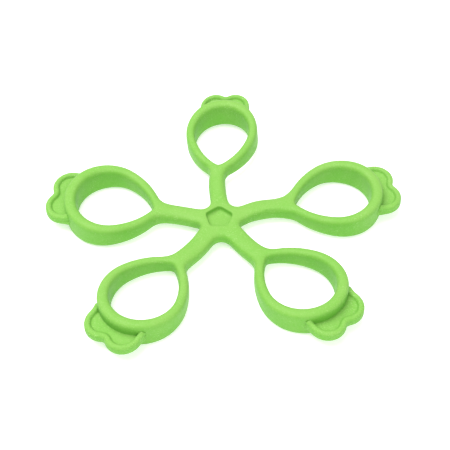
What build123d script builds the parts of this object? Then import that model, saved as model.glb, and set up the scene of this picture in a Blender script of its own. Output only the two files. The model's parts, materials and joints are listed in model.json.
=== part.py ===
"""Five-finger exerciser: a soft silicone star whose five arms each end in a finger loop.

The star is one moulding. Each finger is divided where the rubber flexes:
arm (swings sideways), neck (bends up and down), loop sides (stretch outwards)
and loop end with its pull tab (opens the loop).

Frame: origin at the centre of the hub's flat underside, +Z up, millimetres.
One finger is modelled along +X and then turned to each arm's direction.
"""

from build123d import *
import os
from math import cos, radians, sin, tan

# ---- driving dimensions ----
arm_directions = [89, 169, 233, 313, 15]  # degrees about the hub, fingers 1 to 5
arm_extras = [0, -2, 0, -2, 2]  # how much longer than the plain arm each one is
hub_height = 5.4  # hub and arms, underside at z = 0
arm_width = 7.0
crotch_radius = 2.5  # rounding between two neighbouring arms
recess_radius = 5.3  # corner radius of the pentagon in the hub's top
recess_depth = 2.4

swing_radius = 12.5  # hub axis to the sideways hinge line
stub_setback = 2.2  # the hub's stubs stop this far short of the hinge line
bend_radius = 16.5  # hub axis to the up-and-down hinge line
bend_limit = 57  # degrees each way
running_gap = 0.2  # between the two sides of a hinge

stretch_radius = 24.5  # face where the loop pulls away from its neck
opening_radius = 45  # face where the loop end pulls away from the loop sides

crotch_point = 27.6  # hub axis to the pointed inner end of the finger opening
bore_centre = 44.6  # hub axis to the centre of the opening's round end
bore_radius = 12.4
side_wall = 3.1  # loop wall beside the finger
end_wall = 4.0  # loop wall at the outer end
round_end_angle = 112  # the round end covers this much each side of the arm line
neck_fillet = 5.0  # where the loop walls run into the neck
inner_crotch_fillet = 2.0

loop_drop = 2.0  # loop underside below the hub's underside
loop_rise = 4.2  # loop top above the hub's top
taper_start = 20.0  # the wedge begins here
lower_taper_end = 50.0
upper_taper_end = 58.0

tab_lobe_centre = 61.0  # hub axis to the lobe centres
tab_lobe_spacing = 9.2  # between the two lobe centres
tab_lobe_radius = 6.9
tab_thickness = 4.0
tab_bottom = 2.2
tab_rim_width = 1.7
tab_rim_height = 1.2
tab_valley_fillet = 2.0

edge_round = 1.2  # long edges of hub, arms and loops
tab_edge_round = 0.8

# ---- what follows from them ----
half_width = arm_width / 2
half_height = hub_height / 2
stub_end = swing_radius - stub_setback
sorted_directions = sorted(arm_directions)
gaps = [b - a for a, b in zip(sorted_directions, sorted_directions[1:] + [sorted_directions[0] + 360])]
crotch_room = (stub_end - 1.3 * edge_round) * tan(radians(min(gaps) / 2)) - half_width
crotch_round = min(crotch_radius, crotch_room)  # the narrowest gap between two arms limits it
hinge_reach = 90 - bend_limit  # half-angle of the neck's wedge seen from the hinge line
socket_radius = half_height + running_gap
loop_bottom = -loop_drop
loop_top = hub_height + loop_rise
outer_radius = bore_radius + (side_wall + end_wall) / 2
outer_centre = bore_centre + bore_radius + end_wall - outer_radius
loop_end_reach = outer_centre + outer_radius
plan_reach = loop_end_reach + 2 * tab_lobe_radius
side_angle = radians(180 - round_end_angle)

# ---- outlines ----


def teardrop(centre, radius, apex, point_fillet=0.0):
    """A round outer end whose sides run in tangent arcs to a point on the arm line."""
    tangent_x = centre - radius * cos(side_angle)
    tangent_y = radius * sin(side_angle)
    with BuildSketch() as outline:
        with BuildLine():
            CenterArc((centre, 0), radius, 0, round_end_angle)
            TangentArc(
                (tangent_x, tangent_y), (apex, 0), tangent=(-sin(side_angle), -cos(side_angle))
            )
            mirror(about=Plane.XZ)
        make_face()
        if point_fillet:
            fillet(outline.vertices().sort_by(Axis.X)[0], point_fillet)
    return outline.sketch


def tab_outline(shrink=0.0):
    """Two round lobes with a web back to the loop, pulled in by shrink."""
    lobe = tab_lobe_radius - shrink
    with BuildSketch() as outline:
        with Locations((tab_lobe_centre, tab_lobe_spacing / 2), (tab_lobe_centre, -tab_lobe_spacing / 2)):
            Circle(lobe)
        with Locations((outer_centre, 0)):
            Rectangle(
                tab_lobe_centre - outer_centre,
                tab_lobe_spacing + 2 * lobe,
                align=(Align.MIN, Align.CENTER),
            )
        valley = outline.vertices().filter_by(lambda v: abs(v.Y) < 0.01 and v.X > tab_lobe_centre)
        fillet(valley, tab_valley_fillet)
    return outline.sketch


# ---- hub ----
with BuildPart() as hub:
    with BuildSketch():
        for direction in arm_directions:
            Rectangle(stub_end, arm_width, rotation=direction, align=(Align.MIN, Align.CENTER))
    extrude(amount=hub_height)
    hub_axis = Vector(0, 0, half_height)
    crotches = hub.edges().filter_by(Axis.Z).filter_by(
        lambda e: (e.center() - hub_axis).length < stub_end
    )
    fillet(crotches, crotch_round)
    rims = hub.edges().group_by(Axis.Z)
    fillet(rims[-1] + rims[0], edge_round)
    with BuildSketch(Plane.XY.offset(hub_height)):
        RegularPolygon(recess_radius, 5, rotation=90)
    extrude(amount=-recess_depth, mode=Mode.SUBTRACT)
    with BuildSketch():
        for direction in arm_directions:
            with Locations(
                (swing_radius * cos(radians(direction)), swing_radius * sin(radians(direction)))
            ):
                Circle(half_width + running_gap)
    extrude(amount=hub_height, mode=Mode.SUBTRACT)

# ---- arm: round upright end in the hub's socket, round lying end at the bend ----


def make_arm(extra):
    """An arm that is longer than the plain one by extra."""
    bend = bend_radius + extra
    with BuildPart() as arm:
        with BuildSketch():
            with Locations((swing_radius, 0)):
                Circle(half_width)
                Rectangle(
                    bend + half_height - swing_radius, arm_width, align=(Align.MIN, Align.CENTER)
                )
        extrude(amount=hub_height)
        with BuildSketch(Plane.XZ):
            with Locations((bend, half_height)):
                Circle(half_height)
                Rectangle(bend, hub_height, align=(Align.MAX, Align.CENTER))
        extrude(amount=arm_width, both=True, mode=Mode.INTERSECT)
    return arm.part


# ---- one finger from neck to loop end, in one piece before it is divided ----
with BuildPart() as finger:
    with BuildSketch(Plane.XY.offset(loop_bottom)) as finger_plan:
        add(teardrop(outer_centre, outer_radius, crotch_point - side_wall / sin(side_angle)))
        with Locations((bend_radius, 0)):
            Rectangle(crotch_point - bend_radius, arm_width, align=(Align.MIN, Align.CENTER))
        corners = finger_plan.vertices().filter_by(
            lambda v: abs(abs(v.Y) - half_width) < 0.01 and v.X > bend_radius + 1
        )
        fillet(corners, neck_fillet)
        add(
            teardrop(bore_centre, bore_radius, crotch_point, inner_crotch_fillet),
            mode=Mode.SUBTRACT,
        )
    extrude(amount=loop_top - loop_bottom)
    with BuildSketch(Plane.XZ):
        with BuildLine():
            Polyline(
                (0, 0),
                (taper_start, 0),
                (lower_taper_end, loop_bottom),
                (plan_reach, loop_bottom),
                (plan_reach, loop_top),
                (upper_taper_end, loop_top),
                (taper_start, hub_height),
                (0, hub_height),
                close=True,
            )
        make_face()
    extrude(amount=plan_reach, both=True, mode=Mode.INTERSECT)
    rims = (
        finger.faces()
        .filter_by(lambda f: abs(f.normal_at().Z) > 0.9)
        .edges()
        .filter_by(Axis.Y, reverse=True)
    )
    fillet(rims, edge_round)

# ---- neck: a wedge-shaped inner end leaves room for the bend ----
with BuildPart() as neck:
    add(finger.part)
    split(bisect_by=Plane(origin=(stretch_radius, 0, 0), z_dir=(-1, 0, 0)), keep=Keep.TOP)
    with BuildSketch(Plane.XZ):
        with BuildLine():
            Polyline(
                (bend_radius, half_height),
                (plan_reach, half_height - (plan_reach - bend_radius) * tan(radians(hinge_reach))),
                (plan_reach, half_height + (plan_reach - bend_radius) * tan(radians(hinge_reach))),
                close=True,
            )
        make_face()
        with Locations((bend_radius, half_height)):
            Circle(socket_radius, mode=Mode.SUBTRACT)
    extrude(amount=arm_width, both=True, mode=Mode.INTERSECT)

# ---- loop sides and loop end ----
with BuildPart() as loop_sides:
    add(finger.part)
    split(bisect_by=Plane(origin=(stretch_radius, 0, 0), z_dir=(1, 0, 0)), keep=Keep.TOP)
    split(bisect_by=Plane(origin=(opening_radius, 0, 0), z_dir=(-1, 0, 0)), keep=Keep.TOP)

with BuildPart() as loop_end:
    add(finger.part)
    split(bisect_by=Plane(origin=(opening_radius, 0, 0), z_dir=(1, 0, 0)), keep=Keep.TOP)

# ---- pull tab: two lobes with a raised rim, seated on the loop end's outer wall ----
with BuildPart() as pull_tab:
    with BuildSketch(Plane.XY.offset(tab_bottom)):
        add(tab_outline())
    extrude(amount=tab_thickness)
    rims = pull_tab.edges().group_by(Axis.Z)
    fillet(rims[-1] + rims[0], tab_edge_round)
    with BuildSketch(Plane.XY.offset(tab_bottom + tab_thickness)):
        add(tab_outline(tab_rim_width))
    extrude(amount=-tab_rim_height, mode=Mode.SUBTRACT)
    with BuildSketch(Plane.XY.offset(loop_bottom)):
        with Locations((outer_centre, 0)):
            Circle(outer_radius)
    extrude(amount=loop_top - loop_bottom, mode=Mode.SUBTRACT)

# ---- write the star: one hub and five fingers ----
os.makedirs("parts", exist_ok=True)
hub.part.label = "hub"
export_step(hub.part, "parts/hub.step")

for number, (direction, extra) in enumerate(zip(arm_directions, arm_extras), start=1):
    outward = Vector(cos(radians(direction)), sin(radians(direction)), 0)
    pieces = {
        "arm": (make_arm(extra), 0),
        "neck": (neck.part, extra),
        "loop_sides": (loop_sides.part, extra),
        "loop_end": (loop_end.part, extra),
        "pull_tab": (pull_tab.part, extra),
    }
    for name, (master, shift) in pieces.items():
        with BuildPart() as placed:
            with Locations(outward * shift):
                add(master, rotation=(0, 0, direction))
        placed.part.label = f"{name}_{number}"
        export_step(placed.part, f"parts/{name}_{number}.step")
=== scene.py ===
import json
from math import atan2, cos, pi, radians, sin, sqrt, tan

import bpy
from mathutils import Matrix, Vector


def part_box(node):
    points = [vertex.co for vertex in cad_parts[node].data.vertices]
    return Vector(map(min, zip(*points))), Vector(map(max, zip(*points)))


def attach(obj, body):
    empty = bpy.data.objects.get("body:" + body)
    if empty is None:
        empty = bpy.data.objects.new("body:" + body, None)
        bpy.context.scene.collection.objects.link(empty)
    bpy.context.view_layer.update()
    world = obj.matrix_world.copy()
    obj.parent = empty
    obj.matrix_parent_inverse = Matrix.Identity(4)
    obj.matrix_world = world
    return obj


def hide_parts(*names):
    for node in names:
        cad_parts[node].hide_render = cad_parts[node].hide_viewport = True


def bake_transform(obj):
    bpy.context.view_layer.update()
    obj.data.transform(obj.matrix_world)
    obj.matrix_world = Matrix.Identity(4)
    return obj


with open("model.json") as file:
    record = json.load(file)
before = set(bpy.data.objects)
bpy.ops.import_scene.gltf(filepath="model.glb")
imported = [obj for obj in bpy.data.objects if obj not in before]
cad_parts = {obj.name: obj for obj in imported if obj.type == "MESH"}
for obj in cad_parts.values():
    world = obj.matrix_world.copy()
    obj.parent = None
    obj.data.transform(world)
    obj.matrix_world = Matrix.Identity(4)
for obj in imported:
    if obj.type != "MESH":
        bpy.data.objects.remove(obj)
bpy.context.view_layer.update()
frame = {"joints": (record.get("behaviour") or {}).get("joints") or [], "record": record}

# ---- camera ----
camera_tilt = radians(49.7)      # how far above the table it looks from
camera_distance = 0.359
camera_lens = 76
aim = Vector((0.0020, 0.0009, 0.0))

camera = bpy.data.cameras.new("camera")
camera.lens = camera_lens
camera.sensor_width = 36
camera_object = bpy.data.objects.new("camera", camera)
bpy.context.collection.objects.link(camera_object)
camera_object.location = aim + camera_distance * Vector((0, -cos(camera_tilt), sin(camera_tilt)))
camera_object.rotation_euler = (pi / 2 - camera_tilt, 0, 0)
bpy.context.scene.camera = camera_object

# ---- where everything is, from the frame; the moulding is shaped in millimetres ----
MM = 0.001
FINGERS = range(1, 6)
joints = {joint["name"]: joint for joint in frame["joints"]}
mounts = {mount["name"]: mount for mount in frame["record"]["mounts"]}


def out_from_hub(place):
    """Distance of a place from the hub's axis, in millimetres."""
    return sqrt(place[0] ** 2 + place[1] ** 2) / MM


outward = {n: Vector(joints[f"stretch_{n}"]["axis"]).normalized() for n in FINGERS}
across = {n: Vector((-outward[n].y, outward[n].x, 0)) for n in FINGERS}
angle = {n: atan2(outward[n].y, outward[n].x) for n in FINGERS}
bend_at = {n: out_from_hub(joints[f"bend_{n}"]["pos_m"]) for n in FINGERS}
bore_at = {n: out_from_hub(mounts[f"finger_loop_{n}"]["pos_m"]) for n in FINGERS}
bore_radius = mounts["finger_loop_1"]["dims"]["r_mm"]
hub_bottom, hub_top = (corner.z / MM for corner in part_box("hub"))
loop_bottom, loop_top = (corner.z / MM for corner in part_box("loop_end_1"))
tab_bottom, tab_top = (corner.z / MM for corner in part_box("pull_tab_1"))


def nearest_finger(place):
    """The finger whose direction a place lies closest to."""
    return max(FINGERS, key=lambda n: place.xy.dot(outward[n].xy))


# ---- sizes of the moulding, in millimetres; places along a finger are from its bore ----
arm_half_width = {1: 3.3, 2: 3.5, 3: 3.75, 4: 3.75, 5: 3.55}
crotch_round = {1: 4.6, 2: 1.1, 3: 4.9, 4: 1.1, 5: 4.3}   # between a finger and the next one round
hub_reach = 10.4          # length of the hub's stubs
arm_inner_end = 7.4       # the arms begin inside the hub
edge_round = 1.65
side_wall, end_wall = 3.5, 4.3
outer_radius = bore_radius + (side_wall + end_wall) / 2
outer_centre = bore_radius + end_wall - outer_radius
opening_shrink = 0.2      # the opening is this much smaller all round than the bore
point_inset = 17.2        # the opening's round centre to its point
point_round = 1.8         # rounding of the opening's point
round_end = radians(112)  # the round end covers this much each side
neck_round = 5.5          # flare from the arm into the loop
long_flare_finger, long_flare = 5, 15.0   # this neck flares longer on its left side
wedge_start, wedge_low_end, wedge_high_end = -24.6, 5.4, 13.4
recess_radius, recess_depth, recess_round = 5.4, 2.2, 0.9
recess_at = (-0.2, 0.6)
tab_lobe_at, tab_lobe_radius, tab_lobe_spread = 16.4, 6.9, 4.6
tab_valley_round = 2.0
tab_plate_drop = 1.35     # the plate's top lies this far below the rim's
tab_edge_round = 0.9
tab_rim_radius = 1.25
tab_root_depth = 1.2      # how far the tab's plate reaches into the loop's wall
tab_hook_depth, tab_hook_rise = 0.7, 1.5   # the rim's ends turn up into the wall
tab_hook_pull, tab_side_pull = 1.6, 1.4    # lengths of the curve handles there
hub_seam = 8.4            # cuts between the pieces, from the hub's axis
bend_reach = 3.3          # the neck's cuts, each side of the bend
loop_seam = -8.6          # cut between loop sides and loop end, from the bore

# the soft star lies a little out of shape: how far each arm bows sideways and each neck has
# shifted sideways, how far the loop is turned, and how wide it is against the mould
arm_bow = {1: 0.4, 2: -0.4, 3: 1.2, 4: -0.9, 5: 2.0}
neck_shift = {1: 1.2, 2: 0.0, 3: -0.3, 4: -0.2, 5: 0.0}
loop_turn = {n: radians(turn) for n, turn in {1: -3.3, 2: 0.2, 3: 1.8, 4: 0.3, 5: -1.7}.items()}
loop_width = {1: 0.88, 2: 1.05, 3: 0.95, 4: 0.98, 5: 0.99}
# this loop rests on one side, the other is lifted and the loop is drawn in a little
twisted_loop, loop_twist, twist_draw_in = 1, radians(-4), 1.0
# where that sets in, from the hub's axis; a loop turns about its root
sway_start, bow_end = 6.0, 26.0
loop_root = 22.0
loop_lie_start, loop_lie_end = 18.0, 26.0
twist_start, twist_end = 14.0, 30.0

# ---- fineness of the meshes, in millimetres, and rounds of smoothing ----
star_voxel, tab_voxel = 0.3, 0.24
arm_smoothing, skin_smoothing, tab_smoothing = 45, 50, 12
recess_softness = 0.35    # the recess is smoothed this much of the rest
arm_border, skin_border = 1.5, 2.0   # smoothing sets in over this width round the recess
arm_smooth_until, arm_smooth_end = 20.0, 28.0   # the arms' own smoothing fades out between these
arc_step = radians(40)    # longest stretch of an arc between two curve points
curve_steps, edge_steps, recess_steps = 14, 4, 5
same_place = 1e-4
weld_distance = 0.002
cut_tolerance = 1e-5
crease_angle = radians(50)


# ---- selecting and finishing ----
def pick(*objects):
    """Selects these objects and nothing else, in object mode."""
    if bpy.context.object and bpy.context.object.mode != "OBJECT":
        bpy.ops.object.mode_set(mode="OBJECT")
    bpy.ops.object.select_all(action="DESELECT")
    for one in objects:
        one.select_set(True)
    bpy.context.view_layer.objects.active = objects[0]


def edit(piece):
    """Opens a piece's mesh for editing, all of it selected."""
    pick(piece)
    bpy.ops.object.mode_set(mode="EDIT")
    bpy.ops.mesh.select_all(action="SELECT")


def finish_modifier(piece, kind, **settings):
    """Adds a modifier and applies it."""
    pick(piece)
    modifier = piece.modifiers.new(kind.lower(), kind)
    for name, value in settings.items():
        setattr(modifier, name, value)
    bpy.ops.object.modifier_apply(modifier=modifier.name)


def settle(piece):
    """Moves the piece's place and turn into its mesh."""
    pick(piece)
    bpy.ops.object.transform_apply(location=True, rotation=True, scale=True)


def turn_to(piece, turn):
    """Turns a piece anticlockwise about the hub's axis; the operator counts clockwise."""
    pick(piece)
    bpy.ops.transform.rotate(value=-turn, orient_axis="Z", center_override=(0, 0, 0))
    settle(piece)


def joined(pieces, name):
    """Makes one object of several."""
    pick(*pieces)
    bpy.ops.object.join()
    bpy.context.object.name = name
    return bpy.context.object


def copied(piece, name):
    """A copy with its own mesh."""
    copy = piece.copy()
    copy.data = piece.data.copy()
    copy.name = name
    bpy.context.collection.objects.link(copy)
    return copy


# ---- outlines ----
def arc(centre, radius, start, end):
    """Curve points (place, left handle, right handle) along an arc."""
    steps = max(1, round(abs(end - start) / arc_step))
    step = (end - start) / steps
    pull = 4 / 3 * tan(step / 4) * radius
    points = []
    for i in range(steps + 1):
        a = start + step * i
        place = Vector((centre[0] + radius * cos(a), centre[1] + radius * sin(a), 0))
        along = Vector((-sin(a), cos(a), 0)) * pull
        left = place - along if i > 0 else place
        right = place + along if i < steps else place
        points.append((place, left, right))
    return points


def spot(x, y):
    """A single sharp curve point."""
    place = Vector((x, y, 0))
    return [(place, place, place)]


def run(*stretches):
    """Joins arcs and spots into one line; ends that meet become one point."""
    line = []
    for stretch in stretches:
        for place, left, right in stretch:
            if line and (line[-1][0] - place).length < same_place:
                line[-1] = (line[-1][0], line[-1][1], right)
            else:
                line.append((place, left, right))
    return line


def closed(line):
    """Makes one point of a line's two ends, where they meet."""
    if (line[0][0] - line[-1][0]).length < same_place:
        line[0] = (line[0][0], line[-1][1], line[0][2])
        line = line[:-1]
    return line


def flipped(place):
    return Vector((place.x, -place.y, place.z))


def mirrored(line):
    """The line's mirror image across the finger's middle, run backwards."""
    return [tuple(flipped(v) for v in (place, right, left)) for place, left, right in reversed(line)]


def curve_object(name, lines, dimensions, cyclic):
    """A smooth curve through each line's points."""
    curve = bpy.data.curves.new(name, "CURVE")
    curve.dimensions = dimensions
    curve.resolution_u = curve_steps
    for line in lines:
        spline = curve.splines.new("BEZIER")
        spline.use_cyclic_u = cyclic
        spline.bezier_points.add(len(line) - 1)
        for point, (place, left, right) in zip(spline.bezier_points, line):
            point.handle_left_type = point.handle_right_type = "FREE"
            point.co, point.handle_left, point.handle_right = place, left, right
    piece = bpy.data.objects.new(name, curve)
    bpy.context.collection.objects.link(piece)
    return piece


def meshed(piece):
    """Turns a curve into a welded mesh whose faces point outwards."""
    pick(piece)
    bpy.ops.object.convert(target="MESH")
    piece = bpy.context.object
    settle(piece)
    edit(piece)
    bpy.ops.mesh.remove_doubles(threshold=weld_distance)
    bpy.ops.mesh.normals_make_consistent(inside=False)
    bpy.ops.object.mode_set(mode="OBJECT")
    return piece


def plate(name, outlines, bottom, top, edge):
    """A flat plate with rounded edges; an outline inside another is a hole."""
    piece = curve_object(name, outlines, "2D", True)
    piece.data.fill_mode = "BOTH"
    piece.data.extrude = (top - bottom) / 2 - edge
    piece.data.bevel_depth = edge
    piece.data.bevel_resolution = edge_steps
    piece.data.offset = -edge
    piece.location.z = (bottom + top) / 2
    return meshed(piece)


def tube(name, line, radius):
    """A round bar along a line, closed at its ends."""
    piece = curve_object(name, [line], "3D", False)
    piece.data.bevel_depth = radius
    piece.data.bevel_resolution = edge_steps
    piece.data.use_fill_caps = True
    return meshed(piece)


# ---- the star, shaped in one piece as it is moulded ----
def teardrop_side(centre, radius, point):
    """Centre, radius and end angles of the side arc from the round end to the point."""
    start = Vector((centre + radius * cos(round_end), radius * sin(round_end)))
    inward = Vector((-cos(round_end), -sin(round_end)))
    chord = Vector((point, 0)) - start
    size = chord.length_squared / (2 * chord.dot(inward))
    middle = start + inward * size
    return middle, size, round_end, atan2(-middle.y, point - middle.x)


def opening_outline(centre, radius, point):
    """An egg shape: a round end and two side arcs that meet in a point."""
    middle, size, first, _ = teardrop_side(centre, radius, point)
    # the small round that touches both side arcs from inside
    tip_x = middle.x - sqrt((size - point_round) ** 2 - middle.y**2)
    touch = atan2(-middle.y, tip_x - middle.x) % (2 * pi)
    upper = run(
        arc((centre, 0), radius, 0, round_end),
        arc(middle, size, first, touch),
        arc((tip_x, 0), point_round, touch, pi),
    )
    return closed(run(upper, mirrored(upper)))


def finger_side(centre, radius, point, half, flare):
    """Left edge of a finger from the loop's tip inwards, with a flare of this radius."""
    middle, size, first, _ = teardrop_side(centre, radius, point)
    flare_y = half + flare
    flare_x = middle.x - sqrt((size + flare) ** 2 - (flare_y - middle.y) ** 2)
    touch = atan2(flare_y - middle.y, flare_x - middle.x)
    return run(
        arc((centre, 0), radius, 0, round_end),
        arc(middle, size, first, touch),
        arc((flare_x, flare_y), flare, touch - pi, -pi / 2),
        spot(arm_inner_end, half),
    )


def finger_outline(centre, radius, point, half, left_flare):
    """The arm with straight sides, the flared neck and the loop's outer wall."""
    left = finger_side(centre, radius, point, half, left_flare)
    right = mirrored(finger_side(centre, radius, point, half, neck_round))
    return closed(run(left, right))


def share_between(value, start, end):
    """0 up to start, 1 from end on, and evenly between them."""
    return min(max((value - start) / (end - start), 0), 1)


def ease(value, start, end):
    """0 up to start, 1 from end on, with a soft change between them."""
    share = share_between(value, start, end)
    return share * share * (3 - 2 * share)


def sway(n, out):
    """How far sideways finger n lies at a distance from the hub's axis."""
    bow = arm_bow[n] * sin(pi * share_between(out, sway_start, bow_end))
    return bow + neck_shift[n] * ease(out, sway_start, loop_root)


def let_lie(piece, n):
    """Lets a finger along +X settle into the way it lies: swayed arm, turned and eased loop."""
    for vertex in piece.data.vertices:
        place = vertex.co
        in_loop = ease(place.x, loop_lie_start, loop_lie_end)
        aside = sway(n, place.x)
        turn = loop_turn[n] * in_loop
        x, y = place.x - loop_root, place.y * (1 + (loop_width[n] - 1) * in_loop)
        if n == twisted_loop:
            in_twist = ease(place.x, twist_start, twist_end)
            twist = loop_twist * in_twist
            middle = (loop_top + loop_bottom) / 2
            up = place.z - middle
            place.z = middle + y * sin(twist) + up * cos(twist)
            y = y * cos(twist) - up * sin(twist)
            place.z += (bore_radius + side_wall - edge_round) * abs(sin(twist))
            x -= twist_draw_in * in_twist
        place.x = loop_root + x * cos(turn) - y * sin(turn)
        place.y = x * sin(turn) + y * cos(turn) + aside


def make_finger(n):
    """One finger along +X, raised to its wedge shape and turned to its place."""
    centre = bore_at[n]
    point = centre - point_inset
    outer_point = point - side_wall / sin(round_end)
    left_flare = long_flare if n == long_flare_finger else neck_round
    outlines = [
        finger_outline(
            centre + outer_centre, outer_radius, outer_point, arm_half_width[n], left_flare
        ),
        opening_outline(centre, bore_radius - opening_shrink, point),
    ]
    finger = plate(f"finger_{n}", outlines, hub_bottom, hub_top, edge_round)
    for vertex in finger.data.vertices:
        upper_half = vertex.co.z > (hub_bottom + hub_top) / 2
        wedge_end = wedge_high_end if upper_half else wedge_low_end
        rise = loop_top - hub_top if upper_half else loop_bottom - hub_bottom
        vertex.co.z += rise * share_between(vertex.co.x - centre, wedge_start, wedge_end)
    let_lie(finger, n)
    turn_to(finger, angle[n])
    return finger


def make_hub_star():
    """The middle of the star: five stubs with rounded crotches and a pentagon recess."""
    order = sorted(FINGERS, key=lambda n: angle[n] % (2 * pi))
    line = []
    for n, following in zip(order, order[1:] + order[:1]):
        gap = (angle[following] - angle[n]) % (2 * pi)
        half = (arm_half_width[n] + arm_half_width[following]) / 2
        radius = crotch_round[n]
        away = (half + radius) / sin(gap / 2)
        middle = (away * cos(angle[n] + gap / 2), away * sin(angle[n] + gap / 2))
        first = outward[n] * hub_reach + across[n] * half
        last = outward[following] * hub_reach - across[following] * half
        line = run(
            line,
            spot(*first.xy),
            arc(middle, radius, angle[n] - pi / 2, angle[n] - pi / 2 - (pi - gap)),
            spot(*last.xy),
        )
    star = plate("hub_star", [closed(line)], hub_bottom, hub_top, edge_round)
    bpy.ops.mesh.primitive_cylinder_add(
        vertices=5,
        radius=recess_radius,
        depth=2 * recess_depth,
        location=(*recess_at, hub_top),
        rotation=(0, 0, angle[1] - pi / 2),
    )
    cutter = bpy.context.object
    settle(cutter)
    finish_modifier(cutter, "BEVEL", width=recess_round, segments=recess_steps)
    finish_modifier(star, "BOOLEAN", object=cutter, operation="DIFFERENCE", solver="EXACT")
    bpy.data.objects.remove(cutter)
    for vertex in star.data.vertices:
        n = nearest_finger(vertex.co)
        vertex.co += across[n] * sway(n, vertex.co.dot(outward[n]))
    return star


def make_star():
    """The middle and the five fingers in one skin, smoothed, with the recess kept crisper."""
    star = joined([make_hub_star()] + [make_finger(n) for n in FINGERS], "star")
    finish_modifier(star, "REMESH", mode="VOXEL", voxel_size=star_voxel)
    arms = star.vertex_groups.new(name="arms")
    for vertex in star.data.vertices:
        out = vertex.co.xy.length
        outside_recess = ease(out, recess_radius, recess_radius + arm_border)
        weight = outside_recess * (1 - ease(out, arm_smooth_until, arm_smooth_end))
        if weight > 0:
            arms.add([vertex.index], weight, "REPLACE")
    finish_modifier(star, "SMOOTH", factor=0.5, iterations=arm_smoothing, vertex_group="arms")
    skin = star.vertex_groups.new(name="skin")
    for vertex in star.data.vertices:
        outside_recess = ease(vertex.co.xy.length, recess_radius, recess_radius + skin_border)
        weight = recess_softness + (1 - recess_softness) * outside_recess
        skin.add([vertex.index], weight, "REPLACE")
    finish_modifier(star, "SMOOTH", factor=0.5, iterations=skin_smoothing, vertex_group="skin")
    return star


def cut(piece, n, distance, keep_outer):
    """Cuts square across finger n at a distance from the hub's axis and closes the cut."""
    edit(piece)
    bpy.ops.mesh.bisect(
        plane_co=outward[n] * distance,
        plane_no=outward[n],
        use_fill=True,
        clear_inner=keep_outer,
        clear_outer=not keep_outer,
        threshold=cut_tolerance,
    )
    bpy.ops.object.mode_set(mode="OBJECT")


def drop_other_fingers(piece, n):
    """Deletes what the first cut left of the neighbouring fingers."""
    edit(piece)
    bpy.ops.mesh.select_all(action="DESELECT")
    bpy.ops.object.mode_set(mode="OBJECT")
    for vertex in piece.data.vertices:
        vertex.select = nearest_finger(vertex.co) != n
    bpy.ops.object.mode_set(mode="EDIT")
    bpy.ops.mesh.select_mode(type="VERT")
    bpy.ops.mesh.delete(type="VERT")
    bpy.ops.object.mode_set(mode="OBJECT")


# ---- pull tab: a two-lobed plate with a raised rim that hooks up onto the loop's wall ----
def lobes_line(grow):
    """The tab's outer edge, moved in or out by grow, from one side round to the other."""
    radius = tab_lobe_radius + grow
    reach = tab_lobe_radius + tab_valley_round
    valley_at = sqrt(reach**2 - tab_lobe_spread**2)
    lean = atan2(tab_lobe_spread, valley_at)
    upper = arc((tab_lobe_at, tab_lobe_spread), radius, -lean, pi / 2)
    valley = arc((tab_lobe_at + valley_at, 0), tab_valley_round - grow, pi + lean, pi - lean)
    return run(mirrored(upper), valley, upper)


def make_tab(n):
    """One pull tab: its plate and its rim in one skin, laid and turned as its finger is."""
    inside = outer_radius - tab_root_depth
    side = tab_lobe_spread + tab_lobe_radius
    lean = atan2(side, sqrt(inside**2 - side**2))
    outline = closed(run(lobes_line(0), arc((outer_centre, 0), inside, lean, -lean)))
    base = plate("tab_plate", [outline], tab_bottom, tab_top - tab_plate_drop, tab_edge_round)

    rim_z = tab_top - tab_rim_radius
    side -= tab_rim_radius
    wall_x = outer_centre + sqrt(outer_radius**2 - side**2)
    lift = Vector((0, 0, rim_z))
    edge = [tuple(v + lift for v in point) for point in lobes_line(-tab_rim_radius)]
    hook = Vector((wall_x - tab_hook_depth, side, rim_z + tab_hook_rise))
    pulled = hook + Vector((tab_hook_pull, 0, -tab_hook_rise))
    side_pull = Vector((tab_side_pull, 0, 0))
    place, left, right = edge[-1]
    edge[-1] = (place, left, place - side_pull)
    place, left, right = edge[0]
    edge[0] = (place, place - side_pull, right)
    start = (flipped(hook), flipped(hook), flipped(pulled))
    rim = tube("tab_rim", [start, *edge, (hook, pulled, hook)], tab_rim_radius)

    tab = joined([base, rim], f"silicone_tab_{n}")
    finish_modifier(tab, "REMESH", mode="VOXEL", voxel_size=tab_voxel)
    finish_modifier(tab, "SMOOTH", factor=0.5, iterations=tab_smoothing)
    tab.location.x = bore_at[n]
    settle(tab)
    let_lie(tab, n)
    turn_to(tab, angle[n])
    return tab


# ---- silicone ----
# the deep pigment colour also paints shade onto upright walls, and one of the amounts says how much
skin_colours = ("Pigment", "Deep Pigment And Wall Shade", "Bloom Colour")
skin_amounts = ("Cloud", "Grain", "Bloom", "Painted Wall Shade", "Roughness")

# pattern scales, per metre, and the depth of the grain in metres
cloud_scale, patch_scale, grain_scale, powder_scale = 70, 160, 1500, 2300
grain_depth = 0.00006
grain_share, powder_share = 0.7, 0.3   # what each adds to the relief
bloom_roughness = 0.2


def add_socket(group, name, direction, kind):
    group.interface.new_socket(name=name, in_out=direction, socket_type=kind)


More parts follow.
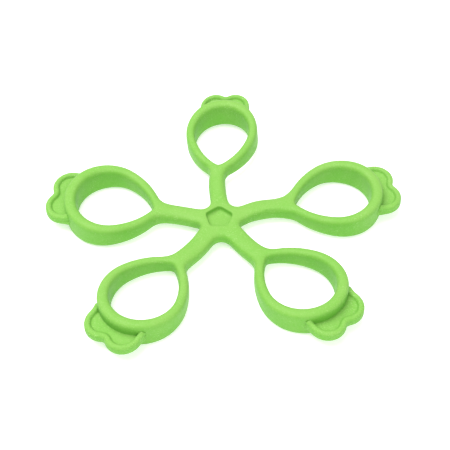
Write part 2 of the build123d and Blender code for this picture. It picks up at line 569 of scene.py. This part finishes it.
def moulded_skin_group():
    """Cloudy pigment, fine powdery grain and small pale specks of a moulded silicone skin, and
    painted shade that turns upright walls towards the deep pigment.
    """
    group = bpy.data.node_groups.new("moulded_skin", "ShaderNodeTree")
    for name in skin_colours:
        add_socket(group, name, "INPUT", "NodeSocketColor")
    for name in skin_amounts:
        add_socket(group, name, "INPUT", "NodeSocketFloat")
    add_socket(group, "Colour", "OUTPUT", "NodeSocketColor")
    add_socket(group, "Surface Roughness", "OUTPUT", "NodeSocketFloat")
    add_socket(group, "Height", "OUTPUT", "NodeSocketFloat")
    nodes, links = group.nodes, group.links
    given = nodes.new("NodeGroupInput")
    result = nodes.new("NodeGroupOutput")
    place = nodes.new("ShaderNodeTexCoord")

    def noise(scale, detail, roughness):
        node = nodes.new("ShaderNodeTexNoise")
        node.inputs["Scale"].default_value = scale
        node.inputs["Detail"].default_value = detail
        node.inputs["Roughness"].default_value = roughness
        links.new(place.outputs["Object"], node.inputs["Vector"])
        return node.outputs["Fac"]

    def spread(value, low, high, to_low=0.0, to_high=1.0):
        node = nodes.new("ShaderNodeMapRange")
        node.inputs["From Min"].default_value = low
        node.inputs["From Max"].default_value = high
        node.inputs["To Min"].default_value = to_low
        node.inputs["To Max"].default_value = to_high
        links.new(value, node.inputs["Value"])
        return node.outputs["Result"]

    def maths(operation, first, second):
        node = nodes.new("ShaderNodeMath")
        node.operation = operation
        for socket, value in zip(node.inputs, (first, second)):
            if isinstance(value, (int, float)):
                socket.default_value = value
            else:
                links.new(value, socket)
        return node.outputs["Value"]

    def blended(share, first, second):
        node = nodes.new("ShaderNodeMix")
        node.data_type = "RGBA"
        links.new(share, node.inputs["Factor"])
        links.new(first, node.inputs["A"])
        links.new(second, node.inputs["B"])
        return node.outputs["Result"]

    clouds = spread(noise(cloud_scale, detail=4, roughness=0.6), low=0.35, high=0.65)
    grain = spread(noise(grain_scale, detail=3, roughness=0.7), low=0.3, high=0.7)
    powder = spread(noise(powder_scale, detail=2, roughness=0.5), low=0.56, high=0.74)
    patches = noise(patch_scale, detail=3, roughness=0.5)
    patches = spread(patches, low=0.4, high=0.7, to_low=0.25)

    # painted shade: upright walls are turned towards the deep pigment, so they look darker and
    # deeper green than what faces up
    direction = nodes.new("ShaderNodeSeparateXYZ")
    links.new(place.outputs["Normal"], direction.inputs["Vector"])
    wall_shade_mask = spread(maths("ABSOLUTE", direction.outputs["Z"], 0), low=0.85, high=0.1)

    deep_tone_and_wall_shade = maths(
        "ADD",
        maths("MULTIPLY", clouds, given.outputs["Cloud"]),
        maths("MULTIPLY", grain, given.outputs["Grain"]),
    )
    # painted shade on upright walls, scaled by its amount
    wall_shade_share = maths("MULTIPLY", wall_shade_mask, given.outputs["Painted Wall Shade"])
    deep_tone_and_wall_shade = maths("MINIMUM", maths("ADD", deep_tone_and_wall_shade, wall_shade_share), 1)
    body = blended(deep_tone_and_wall_shade, given.outputs["Pigment"], given.outputs["Deep Pigment And Wall Shade"])
    bloom_share = maths("MULTIPLY", maths("MULTIPLY", powder, patches), given.outputs["Bloom"])
    colour = blended(bloom_share, body, given.outputs["Bloom Colour"])
    grain_roughness = spread(grain, low=0, high=1, to_low=-0.07, to_high=0.07)
    rough = maths("ADD", given.outputs["Roughness"], grain_roughness)
    rough = maths("ADD", rough, maths("MULTIPLY", bloom_share, bloom_roughness))
    grain_height = maths("MULTIPLY", grain, grain_share)
    height = maths("ADD", grain_height, maths("MULTIPLY", powder, powder_share))
    links.new(colour, result.inputs["Colour"])
    links.new(rough, result.inputs["Surface Roughness"])
    links.new(height, result.inputs["Height"])
    return group


def silicone_material(name, colours, amounts, bump):
    """A silicone finish, with its colours and amounts in the order of the skin's inputs."""
    material = bpy.data.materials.new(name)
    material.use_nodes = True
    nodes, links = material.node_tree.nodes, material.node_tree.links
    shader = nodes["Principled BSDF"]
    surface = nodes.new("ShaderNodeGroup")
    surface.node_tree = moulded_skin
    for socket, colour in zip(skin_colours, colours):
        surface.inputs[socket].default_value = (*colour, 1)
    for socket, amount in zip(skin_amounts, amounts):
        surface.inputs[socket].default_value = amount
    relief = nodes.new("ShaderNodeBump")
    relief.inputs["Strength"].default_value = bump
    relief.inputs["Distance"].default_value = grain_depth
    links.new(surface.outputs["Colour"], shader.inputs["Base Color"])
    links.new(surface.outputs["Surface Roughness"], shader.inputs["Roughness"])
    links.new(surface.outputs["Height"], relief.inputs["Height"])
    links.new(relief.outputs["Normal"], shader.inputs["Normal"])
    shader.inputs["IOR"].default_value = 1.41
    shader.inputs["Specular IOR Level"].default_value = 0.25
    shader.inputs["Sheen Weight"].default_value = 0.03
    shader.inputs["Sheen Roughness"].default_value = 0.5
    return material


moulded_skin = moulded_skin_group()
silicone = silicone_material(
    "green_silicone",
    # the deep pigment is the cloudy pigment's deeper tone and also the colour of the painted shade
    # on upright walls; the fourth amount is how much painted shade those walls get
    colours=((0.24, 0.475, 0.094), (0.13, 0.425, 0.034), (0.43, 0.69, 0.25)),
    amounts=(0.25, 0.32, 0.45, 0.42, 0.52),
    bump=0.45,
)
tab_silicone = silicone_material(
    "green_tab_silicone",
    # the deep pigment is the cloudy pigment's deeper tone and also the colour of the painted shade
    # on upright walls; the fourth amount is how much painted shade those walls get
    colours=((0.245, 0.485, 0.1), (0.13, 0.425, 0.034), (0.47, 0.73, 0.29)),
    amounts=(0.25, 0.4, 0.7, 0.4, 0.58),
    bump=0.6,
)


# ---- cut the star into pieces, one for each CAD node ----
def finish_piece(piece, node, material):
    """Brings a piece to metres, shades it and lets it stand for its CAD node."""
    piece.scale = (MM, MM, MM)
    settle(piece)
    bpy.ops.object.shade_smooth_by_angle(angle=crease_angle)
    piece.data.materials.clear()
    piece.data.materials.append(material)
    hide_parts(node)


def divide_finger(star, n):
    """Four pieces along a finger, cut square across at the hub's seam, each side of the bend and
    before the loop's end."""
    finger = copied(star, f"finger_{n}")
    cut(finger, n, hub_seam, keep_outer=True)
    drop_other_fingers(finger, n)
    regions = ["arm", "neck", "loop_sides", "loop_end"]
    cuts = [hub_seam, bend_at[n] - bend_reach, bend_at[n] + bend_reach, bore_at[n] + loop_seam]
    for place, region in enumerate(regions):
        node = f"{region}_{n}"
        piece = copied(finger, f"silicone_{node}")
        if region != regions[0]:
            cut(piece, n, cuts[place], keep_outer=True)
        if region != regions[-1]:
            cut(piece, n, cuts[place + 1], keep_outer=False)
        finish_piece(piece, node, silicone)
        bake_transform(piece)
    bpy.data.objects.remove(finger)


star = make_star()
hub = copied(star, "silicone_hub")
for n in FINGERS:
    cut(hub, n, hub_seam, keep_outer=False)
finish_piece(hub, "hub", silicone)
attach(hub, "hub")

for n in FINGERS:
    divide_finger(star, n)
    tab = make_tab(n)
    finish_piece(tab, f"pull_tab_{n}", tab_silicone)
    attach(tab, f"loop_end_{n}")
bpy.data.objects.remove(star)


# ---- floor and light ----
floor_size, floor_white = 12, 0.9
floor_glow = 0.4          # the floor is a lit table, which keeps its shadows faint
studio_brightness = 0.6


def make_floor():
    bpy.ops.mesh.primitive_plane_add(size=floor_size, location=(0, 0, loop_bottom * MM))
    floor = bpy.context.object
    floor.name = "floor"
    pale = bpy.data.materials.new("pale_floor")
    pale.use_nodes = True
    shader = pale.node_tree.nodes["Principled BSDF"]
    shader.inputs["Base Color"].default_value = (floor_white, floor_white, floor_white, 1)
    shader.inputs["Roughness"].default_value = 0.8
    shader.inputs["Emission Color"].default_value = (1, 1, 1, 1)
    shader.inputs["Emission Strength"].default_value = floor_glow
    floor.data.materials.append(pale)


def add_softbox(name, place, size, power):
    """A square soft light at a place, in metres and watts, turned to the object."""
    light = bpy.data.lights.new(name, "AREA")
    light.shape = "SQUARE"
    light.size = size
    light.energy = power
    lamp = bpy.data.objects.new(name, light)
    bpy.context.collection.objects.link(lamp)
    lamp.location = place
    lamp.rotation_euler = (-Vector(place)).to_track_quat("-Z", "Y").to_euler()


make_floor()
add_softbox("softbox_above", place=(-0.25, 0.1, 0.8), size=0.7, power=8)
add_softbox("softbox_front", place=(0.3, -0.6, 0.5), size=0.6, power=2.2)
bpy.context.scene.view_settings.view_transform = "Standard"
world = bpy.data.worlds.new("studio")
bpy.context.scene.world = world
world.use_nodes = True
background = world.node_tree.nodes["Background"]
background.inputs["Color"].default_value = (1, 1, 1, 1)
background.inputs["Strength"].default_value = studio_brightness
